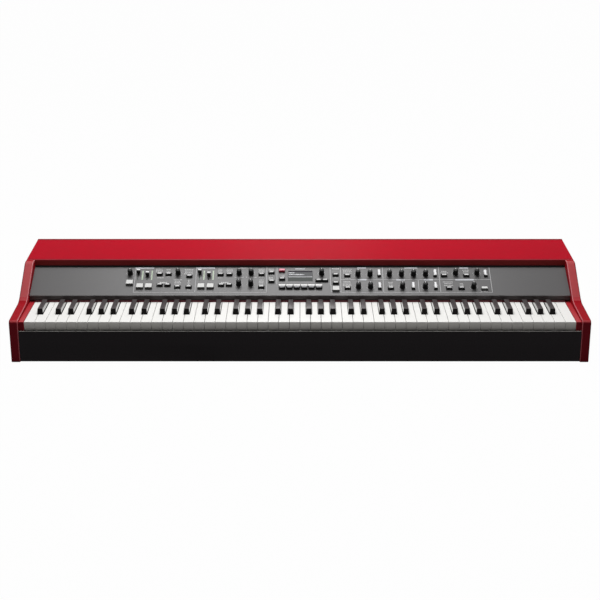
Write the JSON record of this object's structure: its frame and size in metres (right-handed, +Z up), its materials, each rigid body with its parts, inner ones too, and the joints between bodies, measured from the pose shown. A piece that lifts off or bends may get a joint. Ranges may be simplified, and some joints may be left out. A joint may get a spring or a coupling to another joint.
{
  "type": "stage piano",
  "caption": "Slab-shaped electric stage piano with a weighted keyboard, end cheeks, flat red lid and a sloping grey control panel with knobs, faders, buttons and a small display.",
  "frame": {"origin": "centre of the footprint, on the surface that the feet stand on", "axes": "+X along the keyboard to the player's right, +Y from the player to the back, +Z up"},
  "size_m": [1.29, 0.38, 0.178],
  "materials": {
    "red_lacquer": "semi-gloss red lacquer",
    "deep_red_lacquer": "satin red lacquer",
    "black_sheet": "satin black paint",
    "grey_panel": "satin grey paint",
    "red_felt": "wool felt",
    "display_glass": "dark clear window",
    "bright_aluminium": "folded sheet",
    "black_plastic": "matt",
    "foot_rubber": "matt",
    "circuit_board": "solder mask",
    "white_key_plastic": "satin ivory white",
    "black_key_plastic": "matt black",
    "pale_button_plastic": "matt pale grey",
    "red_button_plastic": "matt red"
  },
  "bodies": {
    "case": {"top_lid": "red_lacquer", "left_cheek": "deep_red_lacquer", "right_cheek": "deep_red_lacquer", "left_key_block": "deep_red_lacquer", "right_key_block": "deep_red_lacquer", "key_slip": "black_sheet", "bottom_plate": "black_sheet", "rear_panel": "black_sheet", "control_panel": "grey_panel", "key_felt": "red_felt", "display_window": "display_glass", "keybed_frame": "bright_aluminium", "jack_plate": "black_plastic", "power_inlet": "black_plastic", "foot_front_left": "foot_rubber", "foot_front_right": "foot_rubber", "foot_rear_left": "foot_rubber", "foot_rear_right": "foot_rubber", "main_board": "circuit_board", "panel_board": "circuit_board", "power_supply": "circuit_board", "contact_board": "circuit_board"},
    "key_C4": {"key_C4": "white_key_plastic"},
    "key_Csharp4": {"key_Csharp4": "black_key_plastic"},
    "key_D4": {"key_D4": "white_key_plastic"},
    "key_Dsharp4": {"key_Dsharp4": "black_key_plastic"},
    "key_E4": {"key_E4": "white_key_plastic"},
    "key_F4": {"key_F4": "white_key_plastic"},
    "key_Fsharp4": {"key_Fsharp4": "black_key_plastic"},
    "key_G4": {"key_G4": "white_key_plastic"},
    "key_Gsharp4": {"key_Gsharp4": "black_key_plastic"},
    "key_A4": {"key_A4": "white_key_plastic"},
    "key_Asharp4": {"key_Asharp4": "black_key_plastic"},
    "key_B4": {"key_B4": "white_key_plastic"},
    "white_keys_A0_B1": {"white_keys_A0_B1": "white_key_plastic"},
    "black_keys_A0_B1": {"black_keys_A0_B1": "black_key_plastic"},
    "white_keys_C2_B3": {"white_keys_C2_B3": "white_key_plastic"},
    "black_keys_C2_B3": {"black_keys_C2_B3": "black_key_plastic"},
    "white_keys_C5_B6": {"white_keys_C5_B6": "white_key_plastic"},
    "black_keys_C5_B6": {"black_keys_C5_B6": "black_key_plastic"},
    "white_keys_C7_C8": {"white_keys_C7_C8": "white_key_plastic"},
    "black_keys_C7_C8": {"black_keys_C7_C8": "black_key_plastic"},
    "volume_knob": {"volume_knob": "black_plastic"},
    "value_dial": {"value_dial": "black_plastic"},
    "tone_knob_1": {"tone_knob_1": "black_plastic"},
    "tone_knob_2": {"tone_knob_2": "black_plastic"},
    "tone_knob_3": {"tone_knob_3": "black_plastic"},
    "tone_knob_4": {"tone_knob_4": "black_plastic"},
    "layer_fader_1": {"layer_fader_1": "black_plastic"},
    "layer_fader_2": {"layer_fader_2": "black_plastic"},
    "layer_fader_3": {"layer_fader_3": "black_plastic"},
    "layer_fader_4": {"layer_fader_4": "black_plastic"},
    "store_button": {"store_button": "red_button_plastic"},
    "program_button_1": {"program_button_1": "pale_button_plastic"},
    "program_button_2": {"program_button_2": "pale_button_plastic"},
    "program_button_3": {"program_button_3": "pale_button_plastic"},
    "program_button_4": {"program_button_4": "pale_button_plastic"},
    "program_button_5": {"program_button_5": "pale_button_plastic"},
    "program_button_6": {"program_button_6": "pale_button_plastic"},
    "power_switch": {"power_switch": "black_plastic"}
  },
  "joints": [
    {"name": "key_C4_hinge", "type": "hinge", "parent": "case", "child": "key_C4", "pos_m": [-0.0589, 0.03, 0.088], "axis": [1, 0, 0], "range_deg": [0, 2.7], "stiffness_Nm_per_rad": 1.5, "springref_deg": -5.73},
    {"name": "key_Csharp4_hinge", "type": "hinge", "parent": "case", "child": "key_Csharp4", "pos_m": [-0.04949, 0.03, 0.088], "axis": [1, 0, 0], "range_deg": [0, 3], "stiffness_Nm_per_rad": 1.5, "springref_deg": -5.73},
    {"name": "key_D4_hinge", "type": "hinge", "parent": "case", "child": "key_D4", "pos_m": [-0.03534, 0.03, 0.088], "axis": [1, 0, 0], "range_deg": [0, 2.7], "stiffness_Nm_per_rad": 1.5, "springref_deg": -5.73},
    {"name": "key_Dsharp4_hinge", "type": "hinge", "parent": "case", "child": "key_Dsharp4", "pos_m": [-0.02119, 0.03, 0.088], "axis": [1, 0, 0], "range_deg": [0, 3], "stiffness_Nm_per_rad": 1.5, "springref_deg": -5.73},
    {"name": "key_E4_hinge", "type": "hinge", "parent": "case", "child": "key_E4", "pos_m": [-0.01178, 0.03, 0.088], "axis": [1, 0, 0], "range_deg": [0, 2.7], "stiffness_Nm_per_rad": 1.5, "springref_deg": -5.73},
    {"name": "key_F4_hinge", "type": "hinge", "parent": "case", "child": "key_F4", "pos_m": [0.01178, 0.03, 0.088], "axis": [1, 0, 0], "range_deg": [0, 2.7], "stiffness_Nm_per_rad": 1.5, "springref_deg": -5.73},
    {"name": "key_Fsharp4_hinge", "type": "hinge", "parent": "case", "child": "key_Fsharp4", "pos_m": [0.02001, 0.03, 0.088], "axis": [1, 0, 0], "range_deg": [0, 3], "stiffness_Nm_per_rad": 1.5, "springref_deg": -5.73},
    {"name": "key_G4_hinge", "type": "hinge", "parent": "case", "child": "key_G4", "pos_m": [0.03534, 0.03, 0.088], "axis": [1, 0, 0], "range_deg": [0, 2.7], "stiffness_Nm_per_rad": 1.5, "springref_deg": -5.73},
    {"name": "key_Gsharp4_hinge", "type": "hinge", "parent": "case", "child": "key_Gsharp4", "pos_m": [0.04712, 0.03, 0.088], "axis": [1, 0, 0], "range_deg": [0, 3], "stiffness_Nm_per_rad": 1.5, "springref_deg": -5.73},
    {"name": "key_A4_hinge", "type": "hinge", "parent": "case", "child": "key_A4", "pos_m": [0.0589, 0.03, 0.088], "axis": [1, 0, 0], "range_deg": [0, 2.7], "stiffness_Nm_per_rad": 1.5, "springref_deg": -5.73},
    {"name": "key_Asharp4_hinge", "type": "hinge", "parent": "case", "child": "key_Asharp4", "pos_m": [0.07423, 0.03, 0.088], "axis": [1, 0, 0], "range_deg": [0, 3], "stiffness_Nm_per_rad": 1.5, "springref_deg": -5.73},
    {"name": "key_B4_hinge", "type": "hinge", "parent": "case", "child": "key_B4", "pos_m": [0.08246, 0.03, 0.088], "axis": [1, 0, 0], "range_deg": [0, 2.7], "stiffness_Nm_per_rad": 1.5, "springref_deg": -5.73},
    {"name": "white_keys_A0_B1_hinge", "type": "hinge", "parent": "case", "child": "white_keys_A0_B1", "pos_m": [-0.50654, 0.03, 0.088], "axis": [1, 0, 0], "range_deg": [0, 2.7], "stiffness_Nm_per_rad": 13.5, "springref_deg": -5.73},
    {"name": "black_keys_A0_B1_hinge", "type": "hinge", "parent": "case", "child": "black_keys_A0_B1", "pos_m": [-0.50654, 0.03, 0.088], "axis": [1, 0, 0], "range_deg": [0, 3], "stiffness_Nm_per_rad": 9, "springref_deg": -5.73},
    {"name": "white_keys_C2_B3_hinge", "type": "hinge", "parent": "case", "child": "white_keys_C2_B3", "pos_m": [-0.2356, 0.03, 0.088], "axis": [1, 0, 0], "range_deg": [0, 2.7], "stiffness_Nm_per_rad": 21, "springref_deg": -5.73},
    {"name": "black_keys_C2_B3_hinge", "type": "hinge", "parent": "case", "child": "black_keys_C2_B3", "pos_m": [-0.2356, 0.03, 0.088], "axis": [1, 0, 0], "range_deg": [0, 3], "stiffness_Nm_per_rad": 15, "springref_deg": -5.73},
    {"name": "white_keys_C5_B6_hinge", "type": "hinge", "parent": "case", "child": "white_keys_C5_B6", "pos_m": [0.25916, 0.03, 0.088], "axis": [1, 0, 0], "range_deg": [0, 2.7], "stiffness_Nm_per_rad": 21, "springref_deg": -5.73},
    {"name": "black_keys_C5_B6_hinge", "type": "hinge", "parent": "case", "child": "black_keys_C5_B6", "pos_m": [0.25916, 0.03, 0.088], "axis": [1, 0, 0], "range_deg": [0, 3], "stiffness_Nm_per_rad": 15, "springref_deg": -5.73},
    {"name": "white_keys_C7_C8_hinge", "type": "hinge", "parent": "case", "child": "white_keys_C7_C8", "pos_m": [0.51832, 0.03, 0.088], "axis": [1, 0, 0], "range_deg": [0, 2.7], "stiffness_Nm_per_rad": 12, "springref_deg": -5.73},
    {"name": "black_keys_C7_C8_hinge", "type": "hinge", "parent": "case", "child": "black_keys_C7_C8", "pos_m": [0.51832, 0.03, 0.088], "axis": [1, 0, 0], "range_deg": [0, 3], "stiffness_Nm_per_rad": 7.5, "springref_deg": -5.73},
    {"name": "volume_knob_turn", "type": "hinge", "parent": "case", "child": "volume_knob", "pos_m": [-0.398, 0.01569, 0.14382], "axis": [0, -0.4391, 0.8984], "range_deg": [-150, 150]},
    {"name": "value_dial_turn", "type": "hinge", "parent": "case", "child": "value_dial", "pos_m": [0.0507, 0.01569, 0.14382], "axis": [0, -0.4391, 0.8984], "continuous": true},
    {"name": "tone_knob_1_turn", "type": "hinge", "parent": "case", "child": "tone_knob_1", "pos_m": [0.2095, 0.01245, 0.14224], "axis": [0, -0.4391, 0.8984], "range_deg": [-150, 150]},
    {"name": "tone_knob_2_turn", "type": "hinge", "parent": "case", "child": "tone_knob_2", "pos_m": [0.2377, 0.01245, 0.14224], "axis": [0, -0.4391, 0.8984], "range_deg": [-150, 150]},
    {"name": "tone_knob_3_turn", "type": "hinge", "parent": "case", "child": "tone_knob_3", "pos_m": [0.2659, 0.01245, 0.14224], "axis": [0, -0.4391, 0.8984], "range_deg": [-150, 150]},
    {"name": "tone_knob_4_turn", "type": "hinge", "parent": "case", "child": "tone_knob_4", "pos_m": [0.2941, 0.01245, 0.14224], "axis": [0, -0.4391, 0.8984], "range_deg": [-150, 150]},
    {"name": "layer_fader_1_slide", "type": "slide", "parent": "case", "child": "layer_fader_1", "axis": [0, 0.8984, 0.4391], "range_m": [-0.0215, 0.0055]},
    {"name": "layer_fader_2_slide", "type": "slide", "parent": "case", "child": "layer_fader_2", "axis": [0, 0.8984, 0.4391], "range_m": [-0.014, 0.013]},
    {"name": "layer_fader_3_slide", "type": "slide", "parent": "case", "child": "layer_fader_3", "axis": [0, 0.8984, 0.4391], "range_m": [-0.0215, 0.0055]},
    {"name": "layer_fader_4_slide", "type": "slide", "parent": "case", "child": "layer_fader_4", "axis": [0, 0.8984, 0.4391], "range_m": [-0.0125, 0.0145]},
    {"name": "store_button_press", "type": "slide", "parent": "case", "child": "store_button", "axis": [0, 0.4391, -0.8984], "range_m": [0, 0.0006], "stiffness_N_per_m": 500, "springref_m": -0.001},
    {"name": "program_button_1_press", "type": "slide", "parent": "case", "child": "program_button_1", "axis": [0, 0.4391, -0.8984], "range_m": [0, 0.0006], "stiffness_N_per_m": 500, "springref_m": -0.001},
    {"name": "program_button_2_press", "type": "slide", "parent": "case", "child": "program_button_2", "axis": [0, 0.4391, -0.8984], "range_m": [0, 0.0006], "stiffness_N_per_m": 500, "springref_m": -0.001},
    {"name": "program_button_3_press", "type": "slide", "parent": "case", "child": "program_button_3", "axis": [0, 0.4391, -0.8984], "range_m": [0, 0.0006], "stiffness_N_per_m": 500, "springref_m": -0.001},
    {"name": "program_button_4_press", "type": "slide", "parent": "case", "child": "program_button_4", "axis": [0, 0.4391, -0.8984], "range_m": [0, 0.0006], "stiffness_N_per_m": 500, "springref_m": -0.001},
    {"name": "program_button_5_press", "type": "slide", "parent": "case", "child": "program_button_5", "axis": [0, 0.4391, -0.8984], "range_m": [0, 0.0006], "stiffness_N_per_m": 500, "springref_m": -0.001},
    {"name": "program_button_6_press", "type": "slide", "parent": "case", "child": "program_button_6", "axis": [0, 0.4391, -0.8984], "range_m": [0, 0.0006], "stiffness_N_per_m": 500, "springref_m": -0.001},
    {"name": "power_switch_rock", "type": "hinge", "parent": "case", "child": "power_switch", "pos_m": [0.56, 0.184, 0.05], "axis": [1, 0, 0], "range_deg": [-8, 8]}
  ]
}
